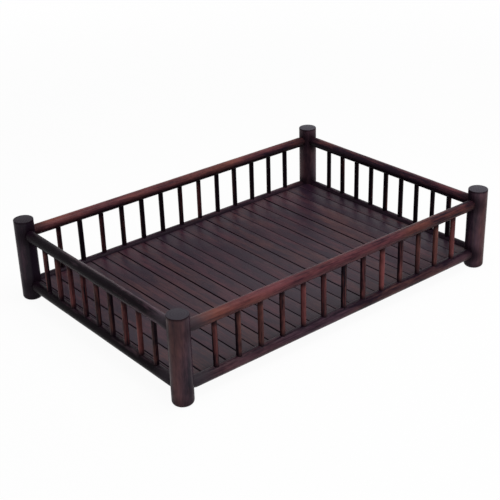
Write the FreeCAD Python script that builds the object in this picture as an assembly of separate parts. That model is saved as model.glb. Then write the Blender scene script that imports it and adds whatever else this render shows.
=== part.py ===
import FreeCAD, Part
import math
import os

# A railed tray: round corner posts, two courses of round rails, slim balusters and a slatted floor.
# Millimetres. +Z is up, +X runs along the long side, +Y along the short side towards the rear.
# The origin is the middle of the footprint, on the surface that the posts stand on.

# Overall size
LENGTH = 400.0
WIDTH = 277.0
HEIGHT = 87.0

# Corner posts, which are also the feet
POST_DIAMETER = 20.0
POST_TOP_EASE = 0.6
POST_FOOT_EASE = 2.5

# Rails, round bars that narrow to a tenon at each end; heights are those of their axes
RAIL_DIAMETER = 11.0
RAIL_SHOULDER = 0.6
RAIL_TAPER_LENGTH = 4.0
TOP_RAIL_HEIGHT = 71.7
BOTTOM_RAIL_HEIGHT = 16.0
TENON_SPACING = 0.5

# Balusters, spread evenly between the first and the last of a side
BALUSTER_DIAMETER = 5.2
BALUSTER_END_GAP = 27.0
LONG_SIDE_BALUSTER_COUNT = 13
SHORT_SIDE_BALUSTER_COUNT = 9
SEAT_WEB = 0.4

# Floor slats, tongued into grooves in the bottom rails
SLAT_THICKNESS = 5.0
SLAT_EASE = 0.4
TONGUE_THICKNESS = 3.0
GROOVE_DEPTH = 3.5
WIDEST_GAP = 1.3

# Widths of the slats from left to right, as shares of a plain slat: first the narrow edge strip
SLAT_WIDTH_SHARES = (
    0.09, 0.97, 1.67, 0.95, 0.99, 0.98, 0.96, 0.97, 0.98, 0.97, 1.09,
    1.08, 0.99, 1.03, 1.03, 1.02, 1.01, 1.01, 1.05, 1.10, 1.06, 0.92,
)

# Gaps that follow the slats, the last slat having none, as shares of the widest gap
SLAT_GAP_SHARES = (
    0.65, 0.60, 0.75, 0.65, 0.45, 0.85, 1.00, 0.70, 0.55, 0.30, 0.15,
    0.40, 0.90, 0.45, 0.15, 0.70, 0.25, 1.00, 0.80, 0.25, 0.30,
)

# Bearers, flat strips glued across the underside of the slats
BEARER_WIDTH = 17.0
BEARER_THICKNESS = 3.5
BEARER_EASE = 1.0
BEARER_SPACING = 130.0
BEARER_END_GAP = 0.5

# Fits
FIT_CLEARANCE = 0.1
END_CLEARANCE = 0.2
CUT_OVERRUN = 2.0

# Worked out from the sizes above
POST_RADIUS = POST_DIAMETER / 2
RAIL_RADIUS = RAIL_DIAMETER / 2
TENON_RADIUS = RAIL_RADIUS - RAIL_SHOULDER
BALUSTER_RADIUS = BALUSTER_DIAMETER / 2
HALF_LENGTH = LENGTH / 2 - POST_RADIUS
HALF_WIDTH = WIDTH / 2 - POST_RADIUS
GROOVE_HEIGHT = TONGUE_THICKNESS + 2 * FIT_CLEARANCE
GROOVE_FLOOR = RAIL_RADIUS - GROOVE_DEPTH
TONGUE_TIP = GROOVE_FLOOR + END_CLEARANCE
SLAT_SHOULDER = RAIL_RADIUS + FIT_CLEARANCE
SLAT_TOP = BOTTOM_RAIL_HEIGHT + SLAT_THICKNESS / 2
SLAT_UNDERSIDE = BOTTOM_RAIL_HEIGHT - SLAT_THICKNESS / 2
SEAT_FLOOR = GROOVE_HEIGHT / 2 + SEAT_WEB
TENON_TIP = TENON_RADIUS + TENON_SPACING

FULL_TURN = 360
QUARTER_TURN = 90
V = FreeCAD.Vector
ORIGIN = V(0, 0, 0)
X_AXIS = V(1, 0, 0)
Y_AXIS = V(0, 1, 0)
Z_AXIS = V(0, 0, 1)

# Each side is built as the front one and then moved on by quarter turns about the middle of the tray
SIDES = ("front", "right", "rear", "left")
LONG_SIDES = ("front", "rear")


def corners():
    """The signs of X and Y at each corner, by the corner's name."""
    return {
        f"{row}_{column}": (side_x, side_y)
        for row, side_y in (("front", -1), ("rear", 1))
        for column, side_x in (("left", -1), ("right", 1))
    }


def half_span(side):
    """Half the distance between the axes of the two posts of a side."""
    return HALF_LENGTH if side in LONG_SIDES else HALF_WIDTH


def set_on_side(shape, side, height):
    """Move a shape from the rail's own frame, inward along +Y, to its side of the tray."""
    distance = HALF_WIDTH if side in LONG_SIDES else HALF_LENGTH
    placed = shape.translated(V(0, -distance, height))
    placed.rotate(ORIGIN, Z_AXIS, QUARTER_TURN * SIDES.index(side))
    return placed


def baluster_places(side):
    """Distances of the balusters along their side, from its middle."""
    count = LONG_SIDE_BALUSTER_COUNT if side in LONG_SIDES else SHORT_SIDE_BALUSTER_COUNT
    first = half_span(side) - POST_RADIUS - BALUSTER_END_GAP
    pitch = 2 * first / (count - 1)
    return [pitch * index - first for index in range(count)]


def rim(shape, height):
    """The round edges of a shape that lie level at one height."""
    return [
        edge for edge in shape.Edges
        if edge.Closed and math.isclose(edge.CenterOfMass.z, height, abs_tol=FIT_CLEARANCE)
    ]


def make_post(side_x, side_y):
    """A corner post with an eased top and foot and a socket for each of its four rails."""
    post = Part.makeCylinder(POST_RADIUS, HEIGHT)
    post = post.makeChamfer(POST_FOOT_EASE, rim(post, 0))
    post = post.makeChamfer(POST_TOP_EASE, rim(post, HEIGHT))
    socket_radius = TENON_RADIUS + FIT_CLEARANCE
    socket_floor = TENON_TIP - END_CLEARANCE
    socket_length = POST_RADIUS - socket_floor + CUT_OVERRUN
    sockets = []
    for height in (TOP_RAIL_HEIGHT, BOTTOM_RAIL_HEIGHT):
        for inward in (X_AXIS * -side_x, Y_AXIS * -side_y):
            start = inward * socket_floor + Z_AXIS * height
            sockets.append(Part.makeCylinder(socket_radius, socket_length, start, inward))
    return post.cut(sockets).translated(V(side_x * HALF_LENGTH, side_y * HALF_WIDTH, 0))


def make_bar(span):
    """A turned rail along X, tapered to a tenon at each end; the post axes lie at plus and minus the span."""
    tip = span - TENON_TIP
    face = span - POST_RADIUS
    full = face - RAIL_TAPER_LENGTH
    half_outline = [(tip, 0), (tip, TENON_RADIUS), (face, TENON_RADIUS), (full, RAIL_RADIUS)]
    outline = half_outline + [(-x, z) for x, z in reversed(half_outline)]
    points = [V(x, 0, z) for x, z in outline + outline[:1]]
    return Part.Face(Part.makePolygon(points)).revolve(ORIGIN, X_AXIS, FULL_TURN)


def baluster_seats(side, upward):
    """Drills for the balusters of a side, entering the rail from above or from below."""
    direction = Z_AXIS * upward
    radius = BALUSTER_RADIUS + FIT_CLEARANCE
    depth = RAIL_RADIUS - SEAT_FLOOR + CUT_OVERRUN
    return [
        Part.makeCylinder(radius, depth, X_AXIS * place + direction * SEAT_FLOOR, direction)
        for place in baluster_places(side)
    ]


def make_top_rail(side):
    """A top rail, drilled from below for its balusters."""
    rail = make_bar(half_span(side)).cut(baluster_seats(side, -1))
    return set_on_side(rail, side, TOP_RAIL_HEIGHT)


def make_bottom_rail(side):
    """A bottom rail, drilled from above for its balusters and grooved on its inner face for the floor."""
    span = half_span(side)
    groove_start = V(-span, GROOVE_FLOOR, -GROOVE_HEIGHT / 2)
    groove = Part.makeBox(2 * span, GROOVE_DEPTH + CUT_OVERRUN, GROOVE_HEIGHT, groove_start)
    rail = make_bar(span).cut(baluster_seats(side, 1) + [groove])
    return set_on_side(rail, side, BOTTOM_RAIL_HEIGHT)


def make_balusters(side):
    """All balusters of a side, each standing from its lower seat to its upper one."""
    low = SEAT_FLOOR + END_CLEARANCE
    length = TOP_RAIL_HEIGHT - BOTTOM_RAIL_HEIGHT - 2 * low
    sticks = [Part.makeCylinder(BALUSTER_RADIUS, length, V(place, 0, low)) for place in baluster_places(side)]
    return set_on_side(Part.makeCompound(sticks), side, BOTTOM_RAIL_HEIGHT)


def slat_edges():
    """Left and right edge of each slat, from the left bottom rail to the right one."""
    left = SLAT_SHOULDER - HALF_LENGTH
    gaps = [WIDEST_GAP * share for share in SLAT_GAP_SHARES]
    plain_width = (-2 * left - sum(gaps)) / sum(SLAT_WIDTH_SHARES)
    edges = []
    for share, gap in zip(SLAT_WIDTH_SHARES, gaps + [0]):
        right = left + plain_width * share
        edges.append((left, right))
        left = right + gap
    return edges


def post_clearances():
    """Room for the posts, which the corners of the floor are cut round."""
    radius = POST_RADIUS + FIT_CLEARANCE
    return [
        Part.makeCylinder(radius, HEIGHT, V(side_x * HALF_LENGTH, side_y * HALF_WIDTH, 0))
        for side_x, side_y in corners().values()
    ]


def make_slat(left, right):
    """A slat with a tongue at each end and eased upper edges."""
    shoulder = HALF_WIDTH - SLAT_SHOULDER
    tip = HALF_WIDTH - TONGUE_TIP
    tongue_top = BOTTOM_RAIL_HEIGHT + TONGUE_THICKNESS / 2
    tongue_underside = BOTTOM_RAIL_HEIGHT - TONGUE_THICKNESS / 2
    half_outline = [
        (shoulder, SLAT_UNDERSIDE), (shoulder, tongue_underside), (tip, tongue_underside),
        (tip, tongue_top), (shoulder, tongue_top), (shoulder, SLAT_TOP),
    ]
    outline = half_outline + [(-y, z) for y, z in reversed(half_outline)]
    points = [V(left, y, z) for y, z in outline + outline[:1]]
    slat = Part.Face(Part.makePolygon(points)).extrude(X_AXIS * (right - left))
    upper_edges = [
        edge for edge in slat.Edges
        if math.isclose(edge.BoundBox.YLength, 2 * shoulder) and math.isclose(edge.CenterOfMass.z, SLAT_TOP)
    ]
    return slat.makeChamfer(SLAT_EASE, upper_edges)


def add_side_tongue(slat, shoulder, outward):
    """Give an outermost slat a tongue along its edge, for the groove of the short bottom rail."""
    length = SLAT_SHOULDER - TONGUE_TIP
    half_run = HALF_WIDTH - TONGUE_TIP
    left = min(shoulder, shoulder + outward * length)
    start = V(left, -half_run, BOTTOM_RAIL_HEIGHT - TONGUE_THICKNESS / 2)
    return slat.fuse(Part.makeBox(length, 2 * half_run, TONGUE_THICKNESS, start)).removeSplitter()


def make_floor():
    """The edge strip and the slats, the outermost ones tongued and cut round the posts."""
    edges = slat_edges()
    slats = [make_slat(left, right) for left, right in edges]
    slats[0] = add_side_tongue(slats[0], edges[0][0], -1)
    slats[-1] = add_side_tongue(slats[-1], edges[-1][1], 1)
    posts = post_clearances()
    return [slat.cut(posts) for slat in slats]


def make_bearer(side_y):
    """A flat bearer under the slats, from one short bottom rail to the other, with eased lower edges."""
    half_run = HALF_LENGTH - RAIL_RADIUS - BEARER_END_GAP
    middle = side_y * BEARER_SPACING / 2
    underside = SLAT_UNDERSIDE - BEARER_THICKNESS
    start = V(-half_run, middle - BEARER_WIDTH / 2, underside)
    bearer = Part.makeBox(2 * half_run, BEARER_WIDTH, BEARER_THICKNESS, start)
    lower_edges = [
        edge for edge in bearer.Edges
        if math.isclose(edge.CenterOfMass.z, underside) and math.isclose(edge.BoundBox.XLength, 2 * half_run)
    ]
    return bearer.makeChamfer(BEARER_EASE, lower_edges)


def make_nodes():
    """Every piece of the tray, by name."""
    nodes = {f"post_{corner}": make_post(*signs) for corner, signs in corners().items()}
    for side in SIDES:
        nodes[f"top_rail_{side}"] = make_top_rail(side)
        nodes[f"bottom_rail_{side}"] = make_bottom_rail(side)
        nodes[f"balusters_{side}"] = make_balusters(side)
    edge_strip, *slats = make_floor()
    nodes["edge_strip"] = edge_strip
    for number, slat in enumerate(slats, start=1):
        nodes[f"floor_slat_{number:02d}"] = slat
    nodes["bearer_front"] = make_bearer(-1)
    nodes["bearer_rear"] = make_bearer(1)
    return nodes


os.makedirs("parts", exist_ok=True)
for name, shape in make_nodes().items():
    shape.exportStep(f"parts/{name}.step")
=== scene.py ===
import math
from typing import NamedTuple

import bpy
from bpy.props import FloatProperty, FloatVectorProperty, IntProperty, PointerProperty
from mathutils import Euler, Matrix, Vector


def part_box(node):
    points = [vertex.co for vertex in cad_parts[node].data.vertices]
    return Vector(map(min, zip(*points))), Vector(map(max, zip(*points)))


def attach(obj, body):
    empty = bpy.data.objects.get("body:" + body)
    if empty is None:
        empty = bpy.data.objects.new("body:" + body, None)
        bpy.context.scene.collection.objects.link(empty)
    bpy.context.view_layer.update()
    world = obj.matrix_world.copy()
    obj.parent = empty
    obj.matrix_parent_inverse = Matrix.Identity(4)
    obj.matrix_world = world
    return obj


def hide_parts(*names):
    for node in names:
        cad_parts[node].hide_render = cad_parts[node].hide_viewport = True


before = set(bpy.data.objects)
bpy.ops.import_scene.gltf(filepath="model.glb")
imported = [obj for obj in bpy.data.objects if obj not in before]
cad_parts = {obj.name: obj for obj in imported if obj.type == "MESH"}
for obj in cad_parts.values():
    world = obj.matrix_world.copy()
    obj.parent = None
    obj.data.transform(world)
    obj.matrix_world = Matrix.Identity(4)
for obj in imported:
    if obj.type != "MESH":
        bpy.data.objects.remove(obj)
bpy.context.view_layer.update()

bl_info = {
    "name": "Railed tea tray",
    "version": (1, 0, 0),
    "blender": (4, 5, 0),
    "location": "View3D > Sidebar > Tray",
    "description": "Builds the stained wood pieces of a railed tea tray around its solids",
    "category": "Object",
}

# The box of the solids, before any piece is added
BODY = "root"

MM = 0.001
X, Y, Z = range(3)
QUARTER_TURN = math.pi / 2
HALF_TURN = math.pi
FULL_TURN = 2 * math.pi

SIDES = ("front", "right", "rear", "left")
LONG_SIDES = ("front", "rear")
CORNERS = ("front_left", "front_right", "rear_left", "rear_right")
LEVELS = ("bottom", "top")
EDGE_STRIP = "edge_strip"
SLATS = sorted(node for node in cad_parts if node.startswith("floor_slat_"))
BEARERS = ("bearer_front", "bearer_rear")


# Sizes that are read from the solids

def span(node, axis):
    """Lowest and highest place of a solid along one axis."""
    low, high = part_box(node)
    return low[axis], high[axis]


def half_width(node, axis):
    """Half of what a solid measures along one axis."""
    low, high = span(node, axis)
    return (high - low) / 2


def middle(node):
    """The middle of a solid's box."""
    low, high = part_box(node)
    return (low + high) / 2


POST_RADIUS = half_width("post_front_left", X)
POST_HEIGHT = 2 * half_width("post_front_left", Z)
RAIL_RADIUS = half_width("top_rail_front", Z)
RAIL_TIP = span("top_rail_front", X)[1]
SOCKET_FLOOR = middle("post_front_right").x - RAIL_TIP
TENON_LENGTH = POST_RADIUS - (span("post_front_right", X)[1] - POST_RADIUS - RAIL_TIP)
BALUSTER_RADIUS = half_width("balusters_front", Y)
TONGUE_TIP = span("floor_slat_02", Y)[1]

# Fineness of the meshes
POST_RINGS = 72
POST_SIDES = 48
RAIL_RINGS = 110
RAIL_SIDES = 32
BALUSTER_RINGS = 28
BALUSTER_SIDES = 18
SLAT_RINGS = 40
CUT_SIDES = 32
EASE_STEPS = 4
SHARP_ANGLE = math.radians(35)
MERGE_DISTANCE = 0.001 * MM
CUT_OVERRUN = 2 * MM

# How the wood's surface wanders: lumps, bends and waves for each metre along a piece, and lumps round it
LUMPS_ALONG = 30.0
LUMPS_ROUND = 0.9
BENDS_ALONG = 6.0
WAVES_ALONG = 9.0

# Fixed random draws: the first number of each kind of piece, and the numbers of what is drawn for it
POST_SEED = 0
RAIL_SEED = 10
BALUSTER_SEED = 20
SLAT_SEED = 30
BEARER_SEED = 60
SEED_STEP = 0.37
SEED_SPREAD = 10
LEAN_DRAW, GIRTH_DRAW, DRIFT_DRAW, TONE_DRAW = range(1, 5)
SLAT_TILT_DRAW = (3, 1)
SLAT_TONE_DRAW = (5, 2)
SWELL_SEED = 1
GOLDEN_RATIO = 0.61803398875

# Which way the first of a post's sockets faces
POST_TURNS = {
    "front_left": HALF_TURN, "front_right": -QUARTER_TURN, "rear_left": QUARTER_TURN, "rear_right": 0.0,
}

# How thin the stain lies on a piece: 0 is dark and 1 is red. A rail has one tone at its front or left end
# and one at its other end
POST_TONES = {"front_left": 0.22, "front_right": 0.52, "rear_left": -0.04, "rear_right": 0.86}
RAIL_TONES = {
    "top_rail_front": (0.52, 0.16),
    "top_rail_right": (0.22, 0.06),
    "top_rail_rear": (0.78, 0.42),
    "top_rail_left": (0.62, 0.0),
    "bottom_rail_front": (0.20, 0.08),
    "bottom_rail_right": (0.10, 0.0),
    "bottom_rail_rear": (0.20, 0.20),
    "bottom_rail_left": (0.16, -0.20),
}
DARKEST_BALUSTER = -0.1
REDDEST_BALUSTER = 0.45
THINNEST_BALUSTER = 0.95
THICKEST_BALUSTER = 1.05
SLAT_TONE = 0.165
SLAT_TONE_SPREAD = 0.3


# Settings that a user would change

LENGTH_DIGITS = 5
FEWEST_BALUSTERS = 2


def length(name, description, default):
    """A property that holds a size in metres."""
    return FloatProperty(
        name=name, description=description, default=default, min=0.0, unit="LENGTH", precision=LENGTH_DIGITS
    )


def share(name, description, default):
    """A property that holds a number from 0 to 1."""
    return FloatProperty(
        name=name, description=description, default=default, min=0.0, max=1.0, subtype="FACTOR"
    )


def angle(name, description, degrees):
    """A property that holds an angle."""
    return FloatProperty(
        name=name, description=description, default=math.radians(degrees), subtype="ANGLE"
    )


def count(name, description, default):
    """A property that holds how many balusters stand on a side."""
    return IntProperty(name=name, description=description, default=default, min=FEWEST_BALUSTERS)


def colour(name, description, default):
    """A property that holds a colour."""
    return FloatVectorProperty(
        name=name, description=description, default=default, min=0.0, max=1.0, size=3, subtype="COLOR"
    )


def spot(name, description, default):
    """A property that holds a place."""
    return FloatVectorProperty(name=name, description=description, default=default, subtype="TRANSLATION")


class PostSettings(bpy.types.PropertyGroup):
    """Sizes of the corner posts."""

    top_ease: length("Top ease", "Rounding of the rim round the sawn top", 0.6 * MM)
    foot_ease: length("Foot ease", "Rounding of the foot's rim", 3.6 * MM)
    unevenness: length("Unevenness", "How far the shaved side swells and dips", 0.12 * MM)
    socket_clearance: length("Socket clearance", "Room round a rail's tenon", 0.1 * MM)


class RailSettings(bpy.types.PropertyGroup):
    """Sizes of the round rails."""

    shoulder: length("Shoulder", "How much a rail narrows to its tenon", 0.6 * MM)
    taper: length("Taper", "Length over which a rail narrows at the post", 4.0 * MM)
    unevenness: length("Unevenness", "How far the surface swells and dips", 0.16 * MM)
    bow: length("Bow", "How far a rail wanders off its straight line", 0.35 * MM)
    seat_depth: length("Seat depth", "Depth of the drilled seats of the balusters", 3.5 * MM)
    groove_height: length("Groove height", "Height of the groove for the floor", 3.2 * MM)
    groove_depth: length("Groove depth", "Depth of the groove for the floor", 3.5 * MM)


class BalusterSettings(bpy.types.PropertyGroup):
    """Counts and sizes of the balusters."""

    long_count: count("Long side count", "Balusters on a long side", 13)
    short_count: count("Short side count", "Balusters on a short side", 9)
    unevenness: length("Unevenness", "How far the surface swells and dips", 0.1 * MM)
    bow: length("Bow", "How far a baluster bends off its straight line", 0.15 * MM)
    lean: angle("Lean", "Most that a baluster leans", 0.35)
    seat_clearance: length("Seat clearance", "Room round a baluster in its seat", 0.1 * MM)


class FloorSettings(bpy.types.PropertyGroup):
    """Sizes of the floor slats, the edge strip and the bearers."""

    ease: length("Ease", "Rounding of a slat's long edges", 0.45 * MM)
    waver: length("Waver", "How far a slat's edges wander", 0.12 * MM)
    lift: length("Lift", "How far a slat rises and falls along its length", 0.08 * MM)
    tilt: angle("Tilt", "Most that a slat is tilted", 0.5)
    tongue: length("Tongue", "Thickness of the tongues at a slat's ends", 3.0 * MM)
    shoulder_gap: length("Shoulder gap", "Room between a slat's shoulder and the rail", 0.1 * MM)
    bearer_ease: length("Bearer ease", "Rounding of a bearer's long edges", 1.0 * MM)


class FinishSettings(bpy.types.PropertyGroup):
    """Colours and sheen of the stained wood."""

    # The dark stain is also the colour under the mask of dark joints and painted shade, in every wood
    dark: colour("Dark stain", "Balusters and joints where the stain lies thick", (0.009, 0.004, 0.008))
    post_dark: colour("Post dark", "Posts where the stain lies thick", (0.019, 0.012, 0.021))
    post_red: colour("Post red", "Posts where the stain lies thin", (0.106, 0.054, 0.078))
    post_warm: colour("Post brown", "Brown patches of the posts", (0.134, 0.054, 0.050))
    rail_dark: colour("Rail dark", "Rails where the stain lies thick", (0.012, 0.004, 0.011))
    # Painted shade: the left rails, on the shaded side, are near-black where the stain lies thick
    rail_black: colour("Rail black", "Left rails where the stain lies thick", (0.005, 0.002, 0.0045))
    rail_red: colour("Rail red", "Rails where the stain lies thin", (0.155, 0.048, 0.056))
    # Partly painted sheen: the grey of the left rails where the stain lies thin
    rail_grey: colour("Rail grey", "Left rails where the stain lies thin", (0.108, 0.068, 0.086))
    rail_end: colour("Rail end", "Rail ends at the front left post", (0.055, 0.045, 0.055))
    rail_warm: colour("Rail brown", "Brown patches of the rails", (0.175, 0.058, 0.045))
    baluster_red: colour("Baluster red", "Balusters where the stain lies thin", (0.225, 0.066, 0.066))
    baluster_warm: colour("Baluster brown", "Brown patches of the balusters", (0.215, 0.078, 0.064))
    slat_dark: colour("Slat dark", "Slats where the stain lies thick", (0.018, 0.008, 0.017))
    slat_red: colour("Slat red", "Slats where the stain lies thin", (0.074, 0.023, 0.034))
    slat_warm: colour("Slat brown", "Brown patches of the slats", (0.084, 0.030, 0.031))
    rubbed: colour("Rubbed stain", "Where the stain is rubbed away", (0.200, 0.075, 0.045))
    # Partly painted sheen: the grey of the sawn tops
    end_grain: colour("End grain", "The sawn tops of the posts", (0.056, 0.050, 0.063))
    gloss: share("Roughness", "Roughness of the varnish", 0.26)
    floor_gloss: share("Floor roughness", "Roughness of the varnish on the slats", 0.38)


class StageSettings(bpy.types.PropertyGroup):
    """Floor, light and camera."""

    floor: colour("Floor", "Colour of the floor", (0.9, 0.9, 0.9))
    shaded_floor: colour("Shaded floor", "Colour of the floor deep under the tray", (0.1, 0.09, 0.09))
    floor_glow: share("Floor glow", "Share of the floor's white that shadows leave alone", 0.95)
    surround: share("Surround", "Strength of the light from all round", 0.15)
    key_power: FloatProperty(
        name="Key power", description="Power of the main lamp", default=17.0, unit="POWER"
    )
    key_size: length("Key size", "Width of the main lamp", 1.0)
    key_place: spot("Key place", "Place of the main lamp", (0.15, -0.35, 1.3))
    azimuth: angle("Azimuth", "Camera's turn about the tray", -38.94)
    elevation: angle("Elevation", "Camera's height as an angle", 26.17)
    roll: angle("Roll", "Camera's tilt to the side", -1.85)
    distance: length("Distance", "From the camera to the point it looks at", 1.1057)
    aim: spot("Aim", "Point that the camera looks at", (0.0, 0.0094, 0.0316))
    lens: FloatProperty(name="Lens", description="Focal length in millimetres", default=77.2)


class TraySettings(bpy.types.PropertyGroup):
    """All settings of the tray and its stage."""

    posts: PointerProperty(type=PostSettings)
    rails: PointerProperty(type=RailSettings)
    balusters: PointerProperty(type=BalusterSettings)
    floor: PointerProperty(type=FloorSettings)
    finish: PointerProperty(type=FinishSettings)
    stage: PointerProperty(type=StageSettings)


def sizes(settings):
    """Settings as inputs of a tree, whose names have spaces for underscores."""
    names = type(settings).__annotations__
    return {name.replace("_", " ").capitalize(): getattr(settings, name) for name in names}


# Node trees, written as formulas

FLOAT = "NodeSocketFloat"
COUNT = "NodeSocketInt"
VECTOR = "NodeSocketVector"
COLOUR = "NodeSocketColor"
MESH = "NodeSocketGeometry"
MATERIAL = "NodeSocketMaterial"

# Sockets of a node that mixes colours, and the middle of a noise that runs from 0 to 1
MIX_INPUTS = (0, 6, 7)
MIX_RESULT = 2
NOISE_MIDDLE = 0.5
SOFT_DETAIL = 2.0


def floats(*names):
    """Sockets of these names that hold plain numbers."""
    return dict.fromkeys(names, FLOAT)


class Field:
    """A node's output, with which formulas can be written."""

    def __init__(self, tree, socket):
        self.tree = tree
        self.socket = socket

    def __add__(self, other):
        return self.tree.calc("ADD", self, other)

    def __sub__(self, other):
        return self.tree.calc("SUBTRACT", self, other)

    def __rsub__(self, other):
        return self.tree.calc("SUBTRACT", other, self)

    def __mul__(self, other):
        return self.tree.calc("MULTIPLY", self, other)

    def __truediv__(self, other):
        return self.tree.calc("DIVIDE", self, other)

    def __rtruediv__(self, other):
        return self.tree.calc("DIVIDE", other, self)

    __radd__ = __add__
    __rmul__ = __mul__

    def least(self, other):
        return self.tree.calc("MINIMUM", self, other)

    def most(self, other):
        return self.tree.calc("MAXIMUM", self, other)

    def clamped(self):
        return self.most(0.0).least(1.0)

    def off_middle(self):
        """A noise, less its middle."""
        return self - NOISE_MIDDLE

    def swing(self):
        """A noise, stretched to run from -1 to 1."""
        return 2 * self - 1

    def ramp(self, start, end):
        """Rises smoothly from 0 at the start to 1 at the end, or falls where the end comes first."""
        feeds = {"Value": self, "From Min": start, "From Max": end}
        return self.tree.put("ShaderNodeMapRange", feeds, interpolation_type="SMOOTHSTEP")


class Tree:
    """A node tree in the making."""

    def __init__(self, tree):
        self.tree = tree

    @classmethod
    def group(cls, name, kind, inputs, outputs):
        """A new group with named inputs and outputs."""
        made = cls(bpy.data.node_groups.new(name, kind))
        for direction, sockets in (("INPUT", inputs), ("OUTPUT", outputs)):
            for socket, socket_type in sockets.items():
                made.tree.interface.new_socket(socket, in_out=direction, socket_type=socket_type)
        made.entry = made.tree.nodes.new("NodeGroupInput")
        made.exit = made.tree.nodes.new("NodeGroupOutput")
        return made

    @classmethod
    def shape(cls, name, inputs):
        """A new group that makes a mesh."""
        return cls.group(name, "GeometryNodeTree", inputs, {"Mesh": MESH})

    @classmethod
    def blank(cls, owner):
        """The nodes of a new material or world, cleared."""
        owner.use_nodes = True
        owner.node_tree.nodes.clear()
        return cls(owner.node_tree)

    def given(self, *names):
        """The group's inputs of these names."""
        fields = [Field(self, self.entry.outputs[name]) for name in names]
        return fields if len(fields) > 1 else fields[0]

    def give(self, **results):
        """Link results to the group's outputs."""
        for name, value in results.items():
            self.feed(self.exit.inputs[name], value)
        return self.tree

    def feed(self, socket, value):
        """Give a socket a plain value or another node's output."""
        if isinstance(value, Field):
            self.tree.links.new(value.socket, socket)
        else:
            socket.default_value = value

    def node(self, kind, feeds=None, **options):
        """Add a node, set its options and feed its inputs by name or number."""
        node = self.tree.nodes.new(kind)
        for option, value in options.items():
            setattr(node, option, value)
        for key, value in (feeds or {}).items():
            self.feed(node.inputs[key], value)
        return node

    def put(self, kind, feeds=None, out=0, **options):
        """Add a node and return one of its outputs."""
        return Field(self, self.node(kind, feeds, **options).outputs[out])

    def calc(self, operation, *values):
        return self.put("ShaderNodeMath", dict(enumerate(values)), operation=operation)

    def vector(self, operation, *values, out=0):
        return self.put("ShaderNodeVectorMath", dict(enumerate(values)), out, operation=operation)

    def diagonal(self, first, second):
        """How far away a point is that lies so far off in two square directions."""
        return self.calc("SQRT", first * first + second * second)

    def join(self, x, y, z):
        return self.put("ShaderNodeCombineXYZ", {"X": x, "Y": y, "Z": z})

    def split(self, vector):
        node = self.node("ShaderNodeSeparateXYZ", {"Vector": vector})
        return [Field(self, output) for output in node.outputs]

    def point(self):
        """Where a point of a mesh lies."""
        return self.split(self.put("GeometryNodeInputPosition"))

    def shaded_point(self):
        """Where a point that is shaded lies in the tray's frame."""
        return self.split(self.put("ShaderNodeTexCoord", out="Object"))

    def noise(self, vector, seed=0.0, detail=SOFT_DETAIL, out="Fac"):
        """Soft noise from 0 to 1, a new one for each seed."""
        feeds = {"Vector": vector, "W": seed, "Scale": 1.0, "Detail": detail}
        return self.put("ShaderNodeTexNoise", feeds, out, noise_dimensions="4D")

    def mix(self, factor, first, second):
        """A colour between two others."""
        feeds = dict(zip(MIX_INPUTS, (factor, first, second)))
        return self.put("ShaderNodeMix", feeds, MIX_RESULT, data_type="RGBA")

    def use(self, group, feeds):
        """Place another group in this tree."""
        kind = self.tree.bl_idname.replace("NodeTree", "NodeGroup")
        node = self.node(kind, feeds, node_tree=group)
        return {output.name: Field(self, output) for output in node.outputs}

    def mark(self, mesh, name, value, data_type="FLOAT", domain="POINT"):
        """Write a named attribute on a mesh."""
        feeds = {"Geometry": mesh, "Name": name, "Value": value}
        return self.put("GeometryNodeStoreNamedAttribute", feeds, data_type=data_type, domain=domain)

    def recall(self, name):
        """Read a named attribute that is a vector."""
        return self.put("GeometryNodeInputNamedAttribute", {"Name": name}, data_type="FLOAT_VECTOR")

    def moved(self, mesh, place=(0, 0, 0), turn=(0, 0, 0)):
        return self.put("GeometryNodeTransform", {"Geometry": mesh, "Translation": place, "Rotation": turn})

    def joined(self, operation, *meshes):
        """Meshes fused, or the later ones cut out of the first."""
        node = self.node("GeometryNodeMeshBoolean", operation=operation, solver="MANIFOLD")
        for index, mesh in enumerate(meshes):
            first = operation == "DIFFERENCE" and index == 0
            self.feed(node.inputs["Mesh 1" if first else "Mesh 2"], mesh)
        return Field(self, node.outputs["Mesh"])

    def real(self, instances):
        return self.put("GeometryNodeRealizeInstances", {"Geometry": instances})

    def facing(self, mesh):
        """Write how far each point of a mesh faces outward, from 1 for out to -1 for in."""
        normal = self.put("GeometryNodeInputNormal")
        outer = self.vector("DOT_PRODUCT", normal, self.given("Outward"), out="Value")
        return self.mark(mesh, "outer", outer)

    def stood(self, mesh):
        """Bring a piece to its place, and write how far each of its points faces outward."""
        return self.facing(self.moved(mesh, *self.given("Place", "Turn")))

    def finished(self, mesh, tone=None):
        """Smooth all but the sharp edges, write the piece's tone, set its material and give it out."""
        edge_angle = self.put("GeometryNodeInputMeshEdgeAngle")
        sharp = self.put("FunctionNodeCompare", {0: edge_angle, 1: SHARP_ANGLE}, operation="GREATER_THAN")
        smooth = self.put("GeometryNodeSetShadeSmooth", {"Geometry": mesh, "Shade Smooth": True})
        feeds = {"Geometry": smooth, "Selection": sharp, "Shade Smooth": False}
        creased = self.put("GeometryNodeSetShadeSmooth", feeds, domain="EDGE")
        toned = self.mark(creased, "tone", tone) if tone is not None else creased
        feeds = {"Geometry": self.real(toned), "Material": self.given("Material")}
        return self.give(Mesh=self.put("GeometryNodeSetMaterial", feeds))


def shared(name, build, *options):
    """The node group of this name, built when it is first asked for."""
    return bpy.data.node_groups.get(name) or build(name, *options)


# Trees of the pieces

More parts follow.
